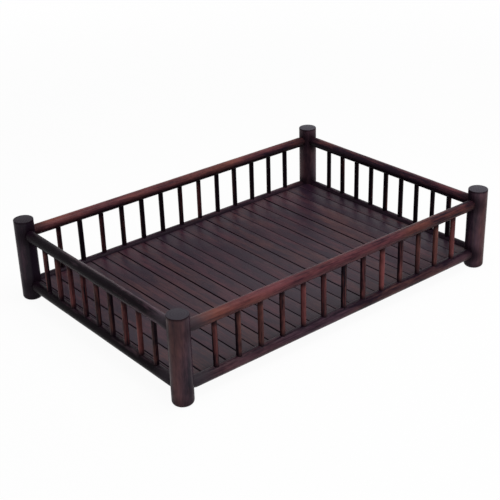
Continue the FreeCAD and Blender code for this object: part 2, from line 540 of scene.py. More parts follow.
STICK_INPUTS = floats("Length", "Radius", "Unevenness", "Seed") | {"Rings": COUNT, "Sides": COUNT}
PLACED_INPUTS = {"Place": VECTOR, "Turn": VECTOR, "Outward": VECTOR, "Tone": FLOAT, "Material": MATERIAL}
POST_INPUTS = STICK_INPUTS | PLACED_INPUTS | floats(
    "Foot ease", "Top ease", "Socket radius", "Socket floor", "Low rail", "High rail", "Inward turn"
)
RAIL_INPUTS = STICK_INPUTS | PLACED_INPUTS | {"Seats": COUNT} | floats(
    "Neck", "Tenon", "Taper", "Bow", "First seat", "Seat step", "Seat radius", "Seat depth", "Seat turn",
    "End tone",
)
GROOVE_INPUTS = floats("Groove height", "Groove depth", "Groove turn")
ROW_INPUTS = STICK_INPUTS | floats("Bow", "Lean") | {
    "Count": COUNT, "First": VECTOR, "Step": VECTOR, "Outward": VECTOR, "Material": MATERIAL,
}
PLANK_INPUTS = {"Rings": COUNT, "Material": MATERIAL} | floats(
    "Left", "Right", "Front", "Rear", "Top", "Underside", "Ease", "Tongue", "Tongue length",
    "Waver", "Lift", "Tilt", "Turn", "Tone", "Seed",
)
CORNER_INPUTS = {"Post axis": VECTOR, "Post room": FLOAT}
SHEET_SIZE = 1.0


def rim_drop(distance, ease):
    """How far a quarter round takes a stick's radius back, at a distance from its end."""
    inward = 1 - (distance / ease).least(1)
    level = distance.tree.calc("SQRT", (1 - inward * inward).most(0))
    return ease * (1 - level)


def stick_tree(name):
    """A turned stick along X, narrowed to a tenon at each end where it has one, with eased rims."""
    t = Tree.shape(name, STICK_INPUTS | floats("Neck", "Tenon", "Taper", "Start ease", "End ease", "Bow"))
    run, radius, neck, tenon, taper = t.given("Length", "Radius", "Neck", "Tenon", "Taper")
    start_ease, end_ease, unevenness, bow = t.given("Start ease", "End ease", "Unevenness", "Bow")
    rings, sides, seed = t.given("Rings", "Sides", "Seed")

    feeds = {"Size X": SHEET_SIZE, "Size Y": SHEET_SIZE, "Vertices X": rings, "Vertices Y": sides + 1}
    sheet = t.put("GeometryNodeMeshGrid", feeds)
    across, around, _ = t.point()
    row = (across + SHEET_SIZE / 2) * (rings - 1)
    part = ((row - 1) / (rings - 3)).clamped()
    along = run * (1 - t.calc("COSINE", part * HALF_TURN)) / 2
    off_pole = row.least(1) * (rings - 1 - row).least(1)
    turn = (around + SHEET_SIZE / 2) * FULL_TURN
    cosine = t.calc("COSINE", turn)
    sine = t.calc("SINE", turn)

    reach = along.least(run - along)
    swell = ((reach - tenon) / taper).clamped()
    turned = neck + (radius - neck) * swell * (2 - swell)
    eased = turned - rim_drop(along, start_ease) - rim_drop(run - along, end_ease)
    lumps = t.noise(t.join(along * LUMPS_ALONG, cosine * LUMPS_ROUND, sine * LUMPS_ROUND), seed)
    shaved = (eased + unevenness * lumps.swing()) * off_pole
    bend_y, bend_z, _ = t.split(t.noise(t.join(along * BENDS_ALONG, 0.0, 0.0), seed, out="Color"))
    wander = 2 * bow * t.calc("SINE", part * HALF_TURN)
    place_y = shaved * cosine + wander * bend_y.off_middle()
    place_z = shaved * sine + wander * bend_z.off_middle()
    feeds = {"Geometry": sheet, "Position": t.join(along, place_y, place_z)}
    rolled = t.put("GeometryNodeSetPosition", feeds)
    closed = t.put("GeometryNodeMergeByDistance", {"Geometry": rolled, "Distance": MERGE_DISTANCE})
    return t.give(Mesh=t.put("GeometryNodeFlipFaces", {"Mesh": closed}))


def stick(t, feeds, *passed):
    """A turned stick that takes its other sizes from the inputs of the same names."""
    feeds = feeds | {name: t.given(name) for name in (*STICK_INPUTS, *passed)}
    return t.use(shared("Turned stick", stick_tree), feeds)["Mesh"]


def mark_stick(t, mesh):
    """Write where each point of a stick lies along its fibres, and how far it is from the nearer end."""
    run, seed = t.given("Length", "Seed")
    at = t.put("GeometryNodeInputPosition")
    along, _, _ = t.split(at)
    offset = t.join(seed, seed * SEED_STEP, seed * SEED_STEP)
    fibred = t.mark(mesh, "fibre", t.vector("ADD", at, offset), "FLOAT_VECTOR")
    return t.mark(fibred, "reach", along.least(run - along))


def cylinder(t, radius, depth):
    """A cylinder that rises from the origin along Z."""
    feeds = {"Vertices": CUT_SIDES, "Radius": radius, "Depth": depth}
    drum = t.put("GeometryNodeMeshCylinder", feeds)
    return t.moved(drum, t.join(0.0, 0.0, depth / 2))


def rail_distance(t, radius, inward):
    """How far a point of a post lies from the middle line of the nearest rail that enters it."""
    along, y, z = t.point()
    sine, cosine = t.calc("SINE", inward), t.calc("COSINE", inward)
    first = z * cosine - y * sine
    second = -1 * (y * cosine + z * sine)
    nearest = 2 * radius
    for height in t.given("Low rail", "High rail"):
        rise = along - height
        for ahead, aside in ((first, second), (second, first)):
            behind = t.calc("LESS_THAN", ahead, 0.0)
            nearest = nearest.least(t.diagonal(rise, aside) + behind * radius)
    return nearest


def post_tree(name):
    """A corner post, stood up from a stick, with a socket for each of its four rails."""
    t = Tree.shape(name, POST_INPUTS)
    radius, floor, inward = t.given("Radius", "Socket floor", "Inward turn")
    foot_ease, top_ease = t.given("Foot ease", "Top ease")
    mesh = stick(t, {"Neck": radius, "Start ease": foot_ease, "End ease": top_ease})
    drill = cylinder(t, t.given("Socket radius"), radius)
    for height in t.given("Low rail", "High rail"):
        for turn in (inward, inward + QUARTER_TURN):
            aimed = t.moved(t.moved(drill, t.join(height, 0.0, floor)), turn=t.join(turn, 0.0, 0.0))
            mesh = t.joined("DIFFERENCE", mesh, aimed)
    marked = t.mark(mark_stick(t, mesh), "joint", rail_distance(t, radius, inward))
    return t.finished(t.stood(marked), t.given("Tone"))


def rail_tree(name, grooved):
    """A rail between two posts, drilled for its balusters, and grooved for the floor where it is low."""
    t = Tree.shape(name, RAIL_INPUTS | (GROOVE_INPUTS if grooved else {}))
    run, radius, seed = t.given("Length", "Radius", "Seed")
    mesh = stick(t, {}, "Neck", "Tenon", "Taper", "Bow")

    depth = t.given("Seat depth")
    drill = cylinder(t, t.given("Seat radius"), depth + CUT_OVERRUN)
    drill = t.moved(drill, t.join(0.0, 0.0, radius - depth))
    row = {
        "Count": t.given("Seats"),
        "Start Location": t.join(t.given("First seat"), 0.0, 0.0),
        "Offset": t.join(t.given("Seat step"), 0.0, 0.0),
    }
    places = t.put("GeometryNodeMeshLine", row)
    drills = t.real(t.put("GeometryNodeInstanceOnPoints", {"Points": places, "Instance": drill}))
    mesh = t.joined("DIFFERENCE", mesh, t.moved(drills, turn=t.join(t.given("Seat turn"), 0.0, 0.0)))

    if grooved:
        height, deep, turn = t.given("Groove height", "Groove depth", "Groove turn")
        size = t.join(run + CUT_OVERRUN, 2 * deep, height)
        plough = t.moved(t.put("GeometryNodeMeshCube", {"Size": size}), t.join(run / 2, radius, 0.0))
        mesh = t.joined("DIFFERENCE", mesh, t.moved(plough, turn=t.join(turn, 0.0, 0.0)))

    placed = t.stood(mark_stick(t, mesh))
    fibre_place, _, _ = t.split(t.recall("fibre"))
    start_tone, end_tone = t.given("Tone", "End tone")
    tone = start_tone + (end_tone - start_tone) * (fibre_place - seed) / run
    return t.finished(placed, tone)


def baluster_tree(name):
    """A row of balusters, each a little different in thickness, lean, spin, tone and fibres."""
    t = Tree.shape(name, ROW_INPUTS)
    radius, seed, lean = t.given("Radius", "Seed", "Lean")
    rod = mark_stick(t, stick(t, {"Neck": radius}, "Bow"))
    upright = t.moved(rod, turn=(0.0, -QUARTER_TURN, 0.0))
    row = {"Count": t.given("Count"), "Start Location": t.given("First"), "Offset": t.given("Step")}
    places = t.put("GeometryNodeMeshLine", row)

    def draw(least, most, number):
        feeds = {0: least, 1: most, "Seed": seed * SEED_SPREAD + number}
        return t.put("FunctionNodeRandomValue", feeds, data_type="FLOAT_VECTOR")

    def draw_one(least, most, number):
        return t.split(draw((least, 0.0, 0.0), (most, 0.0, 0.0), number))[X]

    leans = draw(t.join(-1 * lean, -1 * lean, 0.0), t.join(lean, lean, FULL_TURN), LEAN_DRAW)
    girth = draw_one(THINNEST_BALUSTER, THICKEST_BALUSTER, GIRTH_DRAW)
    feeds = {
        "Points": places, "Instance": upright, "Rotation": leans, "Scale": t.join(girth, girth, 1.0),
    }
    rods = t.put("GeometryNodeInstanceOnPoints", feeds)
    drift = draw((0.0, 0.0, 0.0), (1.0, 1.0, 1.0), DRIFT_DRAW)
    drifted = t.mark(rods, "drift", drift, "FLOAT_VECTOR", "INSTANCE")
    tone = draw_one(DARKEST_BALUSTER, REDDEST_BALUSTER, TONE_DRAW)
    toned = t.mark(drifted, "tone", tone, domain="INSTANCE")
    fibre = t.vector("ADD", t.recall("fibre"), t.recall("drift"))
    return t.finished(t.facing(t.mark(t.real(toned), "fibre", fibre, "FLOAT_VECTOR")))


def swept_board(t, width, thickness, start, end, ease, rings):
    """A board along Y with eased long edges, its middle on the Y axis."""
    outline = t.put("GeometryNodeCurvePrimitiveQuadrilateral", {"Width": width, "Height": thickness})
    feeds = {"Curve": outline, "Count": EASE_STEPS, "Radius": ease, "Limit Radius": True}
    eased = t.put("GeometryNodeFilletCurve", feeds, mode="POLY")
    feeds = {"Start": t.join(0.0, start, 0.0), "End": t.join(0.0, end, 0.0)}
    line = t.put("GeometryNodeCurvePrimitiveLine", feeds)
    path = t.put("GeometryNodeResampleCurve", {"Curve": line, "Count": rings})
    return t.put("GeometryNodeCurveToMesh", {"Curve": path, "Profile Curve": eased, "Fill Caps": True})


def plank_tree(name, cut_round_posts):
    """A board with eased edges and a tongue at each end, cut round the posts where it stands at a corner."""
    t = Tree.shape(name, PLANK_INPUTS | (CORNER_INPUTS if cut_round_posts else {}))
    left, right, front, rear, top, underside = t.given("Left", "Right", "Front", "Rear", "Top", "Underside")
    ease, rings, tongue, tongue_length = t.given("Ease", "Rings", "Tongue", "Tongue length")
    waver, lift, tilt, seed = t.given("Waver", "Lift", "Tilt", "Seed")
    width = right - left
    board = swept_board(t, width, top - underside, front, rear, ease, rings)
    tongues = swept_board(
        t, width - 2 * ease, tongue, front - tongue_length, rear + tongue_length, ease, rings
    )
    mesh = t.joined("UNION", board, tongues)

    x, y, z = t.point()
    side = t.calc("SIGN", x)
    wave = t.noise(t.join(y * WAVES_ALONG, side, 0.0), seed)
    swell = t.noise(t.join(y * WAVES_ALONG, 0.0, 0.0), seed + SWELL_SEED)
    place = t.join(
        x + side * waver * wave.swing() + (left + right) / 2,
        y,
        z + lift * swell.swing() + x * tilt + (top + underside) / 2,
    )
    set_down = t.put("GeometryNodeSetPosition", {"Geometry": mesh, "Position": place})
    if cut_round_posts:
        drum = cylinder(t, t.given("Post room"), POST_HEIGHT)
        post_x, post_y, _ = t.split(t.given("Post axis"))
        for end_y in (post_y, -1 * post_y):
            set_down = t.joined("DIFFERENCE", set_down, t.moved(drum, t.join(post_x, end_y, 0.0)))

    x, y, z = t.point()
    fibre = t.join(y + seed, x + seed * SEED_STEP, z)
    fibred = t.mark(set_down, "fibre", fibre, "FLOAT_VECTOR")
    reached = t.mark(fibred, "reach", (y - front).least(rear - y))
    edged = t.mark(reached, "across", (2 * x - left - right) / width)
    turned = t.moved(edged, turn=t.join(0.0, 0.0, t.given("Turn")))
    return t.finished(turned, t.given("Tone"))


# Making a piece from a tree

def set_in_scene(name, data):
    """A new object in the scene, with this data."""
    made = bpy.data.objects.new(name, data)
    bpy.context.scene.collection.objects.link(made)
    return made


def grow(name, tree, values, node):
    """Run a geometry tree, keep its result as a plain mesh and let it stand for a solid."""
    piece = set_in_scene(name, bpy.data.meshes.new(name))
    modifier = piece.modifiers.new(tree.name, "NODES")
    modifier.node_group = tree
    for item in tree.interface.items_tree:
        if item.in_out == "INPUT":
            modifier[item.identifier] = values[item.name]
    depsgraph = bpy.context.evaluated_depsgraph_get()
    mesh = bpy.data.meshes.new_from_object(piece.evaluated_get(depsgraph), depsgraph=depsgraph)
    if not mesh.polygons:
        raise RuntimeError(f"{name} came out empty")
    piece.modifiers.remove(modifier)
    piece.data = mesh
    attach(piece, BODY)
    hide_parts(node)


def scatter(number, stride, start):
    """A fixed value from 0 to 1 that looks random, one for each piece of this number."""
    return (stride * number + start) * GOLDEN_RATIO % 1.0


# Finishes

# Marks of the wood: how close they lie along and across the fibres, and from where to where they show
HAIRLINE_SCALE = (2.0, 4.0, 4.0)
PORE_SCALE = (6.0, 5.0, 5.0)
FLECK_SCALE = (140.0, 480.0, 480.0)
CLOUD_SCALE = (22.0, 90.0, 90.0)
PATCH_SCALE = (9.0, 24.0, 24.0)
PATCH_SEED = 4.0
FLECK_SEED = 7.0
FINE_DETAIL = 3.0
PLAIN_DETAIL = 1.0
PORES_SHOW = (0.58, 0.72)
PATCHES_SHOW = (0.42, 0.62)
MARKS = floats("Streaks", "Hairlines", "Pores", "Flecks", "Clouds", "Patches")

# Stain: how strongly the marks and the mask of dark joints and painted shade show in its colour, roughness,
# shine and relief
FLECKINESS = 0.65
HAIRLINES_RUBBED = (0.55, 0.8)
RUBBING = 0.5
PORE_DARKNESS = 0.4
HAIRLINE_ROUGHNESS = 0.16
JOINT_ROUGHNESS = 0.25
JOINT_DULLNESS = 0.75
STREAK_RELIEF = 0.6
PORE_RELIEF = 0.7


class Grain(NamedTuple):
    """How a kind of piece is grained and varnished."""

    streak_length: float
    streak_width: float
    streakiness: float
    cloudiness: float
    relief: float
    shine: float


POST_GRAIN = Grain(
    streak_length=60 * MM, streak_width=3.2 * MM, streakiness=1.1, cloudiness=1.6,
    relief=0.08 * MM, shine=0.015,
)
RAIL_GRAIN = Grain(
    streak_length=38 * MM, streak_width=1.5 * MM, streakiness=1.5, cloudiness=1.6,
    relief=0.10 * MM, shine=0.05,
)
BALUSTER_GRAIN = Grain(
    streak_length=40 * MM, streak_width=1.2 * MM, streakiness=1.6, cloudiness=1.6,
    relief=0.08 * MM, shine=0.05,
)
SLAT_GRAIN = Grain(
    streak_length=60 * MM, streak_width=1.1 * MM, streakiness=1.4, cloudiness=1.7,
    relief=0.09 * MM, shine=0.015,
)


class RailLook(NamedTuple):
    """A rail's material, colours and shine, how much redder its outer side is from wear and painted light,
    and how much painted dark reflection blackens its outward side.
    """

    material: str
    colours: tuple
    shine: float
    wear: float
    soak: float


RED_RAIL = RailLook(
    "rail_stain", ("rail_dark", "rail_red", "rail_warm"), shine=0.05, wear=0.25, soak=0.0
)
PURPLE_RAIL = RailLook(
    "low_rail_stain", ("rail_dark", "post_red", "post_warm"), shine=0.055, wear=0.25, soak=0.0
)
# Left rails: a darker copy of the rail stain, painted shade for the shaded side, with a painted dark
# reflection along the outward side and grey painted sheen
BLACK_RAIL = RailLook(
    "black_rail_stain_and_shade", ("rail_black", "rail_grey", "post_red"), shine=0.03, wear=0.0, soak=0.45
)

# Posts: dark round the rails, partly stain gathered at the joints and partly painted shade, dark at the rims
# and at the foot, with a sawn top
POST_COLOURS = ("post_dark", "post_red", "post_warm")
POST_WEAR_AND_LIGHT = 0.3
RAIL_HALO = (16 * MM, 5 * MM)
LEAST_HALO = 0.3
RIM_FADE = (3.0 * MM, 0.4 * MM)
RIM_DARKNESS = 0.8
FOOT_FADE = (15 * MM, 2 * MM)
FOOT_DARKNESS = 0.5
SAWN_FADE = (0.25 * MM, 0.05 * MM)
SAWN_ROUGHNESS = 0.12
RINGS_PACE = 2600
RINGS_WANDER = 3
RINGS_STRENGTH = 0.12
TOP_TONE = 1.2
TOP_LEVEL = 0.3
POST_COAT = 0.18
SAWN_COAT = 0.08

# Rails: dark at the posts from dark joints and painted shade, painted shade on the inner side, black along
# the outward side of the left rails as a painted dark reflection, grey at the front left post
RAIL_JOINT_SHADE_FADE = (24 * MM, 8 * MM)
RAIL_JOINT_SHADE_WANDER = 22 * MM
RAIL_JOINT_AND_SHADE_DARKNESS = 0.75
INNER_SHADE_SIDE = (-0.2, -0.9)
DARK_REFLECTION_SIDE = (0.55, 0.97)
GREY_REACH = (38 * MM, 10 * MM)
GREY_LEFT = (0.0, -100 * MM)
GREY_FRONT = (0.0, -60 * MM)
GREYNESS = 0.6

# Balusters: dark at both ends, partly dark joints and partly painted contact shade
BALUSTER_COLOURS = ("dark", "baluster_red", "baluster_warm")
BALUSTER_WEAR_AND_LIGHT = 0.35
BALUSTER_JOINT_SHADE_FADE = (10 * MM, 3 * MM)
BALUSTER_JOINT_SHADE_DARKNESS = 0.9

# Slats: dark at the ends, partly dirt and partly painted shade, and along the edges, painted shade of the
# gaps, with more varnish toward the front
SLAT_COLOURS = ("slat_dark", "slat_red", "slat_warm")
SLAT_GAP_SHADE = (0.92, 0.99)
SLAT_GAP_SHADE_WANDER = 0.10
SLAT_END_FADE = (7 * MM, 0.5 * MM)
SLAT_END_DARKNESS = 0.2
SLAT_COAT = 0.24
SLAT_FRONT_COAT = 0.15
SLAT_FRONT = (80 * MM, -90 * MM)


def fibre_group(name):
    """Streaks, hairlines, pores, flecks, clouds and patches of a wood with fibres along the first axis."""
    inputs = {"Fibre": VECTOR} | floats("Streak length", "Streak width")
    t = Tree.group(name, "ShaderNodeTree", inputs, MARKS)
    fibre, streak_length, streak_width = t.given("Fibre", "Streak length", "Streak width")
    thin = 1 / streak_width
    laid = t.vector("MULTIPLY", fibre, t.join(1 / streak_length, thin, thin))

    def marks(wood, scale, detail, seed=0.0):
        return t.noise(t.vector("MULTIPLY", wood, scale), seed, detail)

    return t.give(
        Streaks=t.noise(laid, detail=FINE_DETAIL),
        Hairlines=marks(laid, HAIRLINE_SCALE, FINE_DETAIL),
        Pores=marks(laid, PORE_SCALE, PLAIN_DETAIL).ramp(*PORES_SHOW),
        Flecks=marks(fibre, FLECK_SCALE, PLAIN_DETAIL, FLECK_SEED),
        Clouds=marks(fibre, CLOUD_SCALE, SOFT_DETAIL),
        Patches=marks(fibre, PATCH_SCALE, PLAIN_DETAIL, PATCH_SEED).ramp(*PATCHES_SHOW),
    )


def stain_group(name):
    """Colour, roughness, shine and relief of a stain that lies thick in places and thin in others, darkest
    under a mask of dark joints and painted shade.
    """
    inputs = MARKS | floats("Tone", "Streakiness", "Fleckiness", "Cloudiness", "Joint", "Gloss")
    inputs |= dict.fromkeys(("Joint dark", "Dark", "Red", "Warm", "Rubbed"), COLOUR)
    outputs = {"Colour": COLOUR} | floats("Roughness", "Shine", "Height")
    t = Tree.group(name, "ShaderNodeTree", inputs, outputs)
    streaks, hairlines, pores, joint = t.given("Streaks", "Hairlines", "Pores", "Joint")
    streaked = t.given("Streakiness") * streaks.off_middle()
    flecked = t.given("Fleckiness") * t.given("Flecks").off_middle()
    clouded = t.given("Cloudiness") * t.given("Clouds").off_middle()
    thinness = (t.given("Tone") + streaked + flecked + clouded).clamped()
    wood = t.mix(*t.given("Patches", "Red", "Warm"))
    stained = t.mix(thinness, t.given("Dark"), wood)
    rubbing = hairlines.ramp(*HAIRLINES_RUBBED) * thinness * RUBBING
    rubbed = t.mix(rubbing, stained, t.given("Rubbed"))
    # The mask holds dark joints and painted shade
    gathered_and_shaded = (joint + pores * PORE_DARKNESS).clamped()
    return t.give(
        Colour=t.mix(gathered_and_shaded, rubbed, t.given("Joint dark")),
        Roughness=t.given("Gloss") + HAIRLINE_ROUGHNESS * hairlines.off_middle() + JOINT_ROUGHNESS * joint,
        Shine=1 - JOINT_DULLNESS * joint,
        Height=hairlines + STREAK_RELIEF * streaks - PORE_RELIEF * pores,
    )


def attribute(t, name, out="Fac"):
    """An attribute of the piece, as written by its tree."""
    return t.put("ShaderNodeAttribute", out=out, attribute_name=name)


def opaque(colour):
    """A colour with full alpha, as a socket takes it."""
    return (*colour, 1.0)


class Wood:
    """A stained wood material in the making: fibres, stain and the varnish over them."""

    def __init__(self, name, finish, grain, gloss):
        self.material = bpy.data.materials.new(name)
        self.tree = Tree.blank(self.material)
        self.finish = finish
        self.grain = grain
        self.gloss = gloss
        self.fibre = attribute(self.tree, "fibre", "Vector")
        self.reach = attribute(self.tree, "reach")
        self.outer = attribute(self.tree, "outer")
        self.tone = attribute(self.tree, "tone")
        feeds = {
            "Fibre": self.fibre, "Streak length": grain.streak_length, "Streak width": grain.streak_width,
        }
        self.marks = self.tree.use(shared("Wood fibres", fibre_group), feeds)
        self.clouds = self.marks["Clouds"]

    def stain(self, colours, joint, wear=0.0):
        """Stain the wood dark to red or brown, its tone raised or lowered by wear and painted light and
        shade, and darkest under the mask of dark joints and painted shade.
        """
        stains = dict(zip(("Dark", "Red", "Warm", "Joint dark", "Rubbed"), (*colours, "dark", "rubbed")))
        feeds = self.marks | {
            "Tone": self.tone + wear,
            "Streakiness": self.grain.streakiness,
            "Fleckiness": FLECKINESS,
            "Cloudiness": self.grain.cloudiness,
            "Joint": joint,
            "Gloss": self.gloss,
        }
        feeds |= {socket: opaque(getattr(self.finish, name)) for socket, name in stains.items()}
        return self.tree.use(shared("Rubbed stain", stain_group), feeds)

    def varnish(self, stain, coat=0.0):
        """Put the stain's colour, roughness and relief under a satin varnish."""
        t = self.tree
        feeds = {"Strength": 1.0, "Distance": self.grain.relief, "Height": stain["Height"]}
        bump = t.put("ShaderNodeBump", feeds)
        feeds = {
            "Base Color": stain["Colour"],
            "Roughness": stain["Roughness"],
            "Normal": bump,
            "Specular IOR Level": self.grain.shine,
            "Coat Weight": coat,
            "Coat Roughness": self.gloss,
        }
        surface = t.put("ShaderNodeBsdfPrincipled", feeds)
        t.node("ShaderNodeOutputMaterial", {"Surface": surface})
        return self.material


def post_finish(finish):
    """Posts: soft streaks up the side, a dark foot, and a sawn grey top with growth rings and a dark rim."""
    wood = Wood("post_stain", finish, POST_GRAIN, finish.gloss)
    t = wood.tree
    # Painted shade round the rails, partly stain gathered at the joints
    halo = attribute(t, "joint").ramp(*RAIL_HALO) * (wood.clouds + LEAST_HALO).clamped()
    rim = RIM_DARKNESS * wood.reach.ramp(*RIM_FADE)
    _, _, height = t.shaded_point()
    foot = FOOT_DARKNESS * height.ramp(*FOOT_FADE)
    # Redder outward and darker inward: partly wear, partly painted light and shade
    stain = wood.stain(POST_COLOURS, halo.most(rim).most(foot), POST_WEAR_AND_LIGHT * wood.outer)
    sawn = wood.reach.ramp(*SAWN_FADE)
    _, y, z = t.split(wood.fibre)
    rings = t.calc("SINE", RINGS_PACE * t.diagonal(y, z) + RINGS_WANDER * wood.clouds)
    bright = TOP_TONE * wood.tone + TOP_LEVEL + RINGS_STRENGTH * rings
    # Grey end grain: partly the sawn top's own colour, partly painted sheen
    end_grain = t.mix(bright.clamped(), opaque(finish.dark), opaque(finish.end_grain))
    coat = POST_COAT * stain["Shine"] + SAWN_COAT * sawn
    stain["Colour"] = t.mix(sawn, stain["Colour"], end_grain)
    stain["Roughness"] += SAWN_ROUGHNESS * sawn
    return wood.varnish(stain, coat)


def rail_finish(finish, look):
    """Rails: long streaks, dark where they run into the posts from dark joints and painted shade, with
    painted shade on the inner side and, on the left rails, a painted dark reflection on the outward side.
    """
    wood = Wood(look.material, finish, RAIL_GRAIN._replace(shine=look.shine), finish.gloss)
    t = wood.tree
    # Dark at the posts: partly dark joints, partly painted shade
    joint_shade_reach = wood.reach + RAIL_JOINT_SHADE_WANDER * wood.clouds.off_middle()
    at_post = RAIL_JOINT_AND_SHADE_DARKNESS * joint_shade_reach.ramp(*RAIL_JOINT_SHADE_FADE)
    # Painted shade on the inner side of the rail
    painted_inner_shade = RAIL_JOINT_AND_SHADE_DARKNESS * wood.outer.ramp(*INNER_SHADE_SIDE)
    # Redder outward from wear and painted light; on the left rails a painted dark reflection blackens the
    # outward side
    worn_lit_and_shaded = look.wear * wood.outer - look.soak * wood.outer.ramp(*DARK_REFLECTION_SIDE)
    stain = wood.stain(look.colours, at_post.most(painted_inner_shade), worn_lit_and_shaded)
    x, y, _ = t.shaded_point()
    greyed = GREYNESS * wood.reach.ramp(*GREY_REACH) * x.ramp(*GREY_LEFT) * y.ramp(*GREY_FRONT)
    stain["Colour"] = t.mix(greyed, stain["Colour"], opaque(finish.rail_end))
    return wood.varnish(stain)


def baluster_finish(finish):
    """Balusters: short streaks, dark at both ends from dark joints and painted contact shade."""
    wood = Wood("baluster_stain", finish, BALUSTER_GRAIN, finish.gloss)
    # Dark at both ends: partly dark joints, partly painted contact shade
    joint = BALUSTER_JOINT_SHADE_DARKNESS * wood.reach.ramp(*BALUSTER_JOINT_SHADE_FADE)
    # Redder outward and darker inward: partly wear, partly painted light and shade
    return wood.varnish(wood.stain(BALUSTER_COLOURS, joint, BALUSTER_WEAR_AND_LIGHT * wood.outer))


def slat_finish(finish):
    """Slats: fine streaks along the length, dark at the ends from dirt and painted shade, and along the
    edges from painted shade of the gaps.
    """
    wood = Wood("slat_stain", finish, SLAT_GRAIN, finish.floor_gloss)
    t = wood.tree
    across = t.calc("ABSOLUTE", attribute(t, "across"))
    # Painted shade along the edges, where the gaps between the slats are
    painted_gap_shade = (across + SLAT_GAP_SHADE_WANDER * wood.clouds.off_middle()).ramp(*SLAT_GAP_SHADE)
    # Darker at the ends: partly dirt, partly painted shade
    end = SLAT_END_DARKNESS * wood.reach.ramp(*SLAT_END_FADE)
    stain = wood.stain(SLAT_COLOURS, end.most(painted_gap_shade))
    _, y, _ = t.shaded_point()
    return wood.varnish(stain, (SLAT_COAT + SLAT_FRONT_COAT * y.ramp(*SLAT_FRONT)) * stain["Shine"])


# Operators

def side_axis(side):
    """The axis along which a side's rails run."""
    return X if side in LONG_SIDES else Y


def outward(side):
    """The direction from the tray's middle to one of its sides."""
    direction = middle(f"balusters_{side}")
    direction.z = 0.0
    return direction.normalized()


def seat_count(settings, side):
    """How many balusters a side has."""
    return settings.long_count if side in LONG_SIDES else settings.short_count


def seat_row(settings, side):
    """Foot of a side's first baluster, and the step from one baluster to the next."""
    axis = side_axis(side)
    low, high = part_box(f"balusters_{side}")
    first = (low + high) / 2
    first[axis] = low[axis] + BALUSTER_RADIUS
    first.z = low.z
    step = Vector((0, 0, 0))
    step[axis] = (high[axis] - low[axis] - 2 * BALUSTER_RADIUS) / (seat_count(settings, side) - 1)
    return first, step


class TRAY_OT_posts(bpy.types.Operator):
    """Make the four corner posts, with sawn tops, eased feet and sockets for the rails"""

    bl_idname = "tray.posts"
    bl_label = "Corner posts"

    def execute(self, context):
        settings = context.scene.tray
        tree = shared("Corner post", post_tree)
        tenon_radius = RAIL_RADIUS - settings.rails.shoulder
        common = sizes(settings.posts) | {
            "Length": POST_HEIGHT,
            "Radius": POST_RADIUS,
            "Rings": POST_RINGS,
            "Sides": POST_SIDES,
            "Socket radius": tenon_radius + settings.posts.socket_clearance,
            "Socket floor": SOCKET_FLOOR,
            "Low rail": middle("bottom_rail_front").z,
            "High rail": middle("top_rail_front").z,
            "Turn": (0.0, -QUARTER_TURN, 0.0),
            "Material": post_finish(settings.finish),
        }
        for number, corner in enumerate(CORNERS):
            node = f"post_{corner}"
            foot = middle(node)
            foot.z = 0.0
            values = common | {
                "Seed": float(POST_SEED + number),
                "Inward turn": POST_TURNS[corner],
                "Place": tuple(foot),
                "Outward": tuple(foot.normalized()),
                "Tone": POST_TONES[corner],
            }
            grow(f"turned_{node}", tree, values, node)
        return {"FINISHED"}


class TRAY_OT_rails(bpy.types.Operator):
    """Make the top and bottom rails, with tapered ends, drilled seats and a groove for the floor"""

    bl_idname = "tray.rails"
    bl_label = "Rails"

    def execute(self, context):
        settings = context.scene.tray
        trees = [shared("Grooved rail", rail_tree, True), shared("Round rail", rail_tree, False)]
        looks = (RED_RAIL, PURPLE_RAIL, BLACK_RAIL)
        red, purple, black = (rail_finish(settings.finish, look) for look in looks)
        for number, side in enumerate(SIDES):
            for level, name in enumerate(LEVELS):
                # The left rails take the darker copy with painted shade, painted dark reflection and painted
                # sheen
                material = black if side == "left" else (purple, red)[level]
                seed = RAIL_SEED + len(LEVELS) * number + level
                self.make_rail(settings, trees[level], material, f"{name}_rail_{side}", side, level, seed)
        return {"FINISHED"}

    def make_rail(self, settings, tree, material, node, side, level, seed):
        """One rail; its own X axis runs from one post to the other and its Y axis points inward."""
        axis = side_axis(side)
        start, end = span(node, axis)
        first, step = seat_row(settings.balusters, side)
        place = middle(node)
        place[axis] = start
        start_tone, end_tone = RAIL_TONES[node]
        values = sizes(settings.rails) | {
            "Length": end - start,
            "Radius": RAIL_RADIUS,
            "Neck": RAIL_RADIUS - settings.rails.shoulder,
            "Tenon": TENON_LENGTH,
            "Rings": RAIL_RINGS,
            "Sides": RAIL_SIDES,
            "Seed": float(seed),
            "Seats": seat_count(settings.balusters, side),
            "First seat": first[axis] - start,
            "Seat step": step[axis],
            "Seat radius": BALUSTER_RADIUS + settings.balusters.seat_clearance,
            "Seat turn": HALF_TURN * level,
            "Groove turn": 0.0 if side in ("front", "right") else HALF_TURN,
            "Place": tuple(place),
            "Turn": (0.0, 0.0, 0.0 if axis == X else QUARTER_TURN),
            # Top rails count upward as outward, so their tops also get the painted light of the outer side
            "Outward": tuple((outward(side) + Vector((0, 0, level))).normalized()),
            "Tone": start_tone,
            "End tone": end_tone,
            "Material": material,
        }
        grow(f"round_{node}", tree, values, node)


class TRAY_OT_balusters(bpy.types.Operator):
    """Make the rows of balusters, each standing from its lower seat to its upper one"""

    bl_idname = "tray.balusters"
    bl_label = "Balusters"

    def execute(self, context):
        settings = context.scene.tray
        tree = shared("Baluster row", baluster_tree)
        material = baluster_finish(settings.finish)
        for number, side in enumerate(SIDES):
            node = f"balusters_{side}"
            first, step = seat_row(settings.balusters, side)
            values = sizes(settings.balusters) | {
                "Length": 2 * half_width(node, Z),
                "Radius": BALUSTER_RADIUS,
                "Rings": BALUSTER_RINGS,
                "Sides": BALUSTER_SIDES,
                "Seed": float(BALUSTER_SEED + number),
                "Count": seat_count(settings.balusters, side),
                "First": tuple(first),
                "Step": tuple(step),
                "Outward": tuple(outward(side)),
                "Material": material,
            }
            grow(f"slim_{node}", tree, values, node)
        return {"FINISHED"}


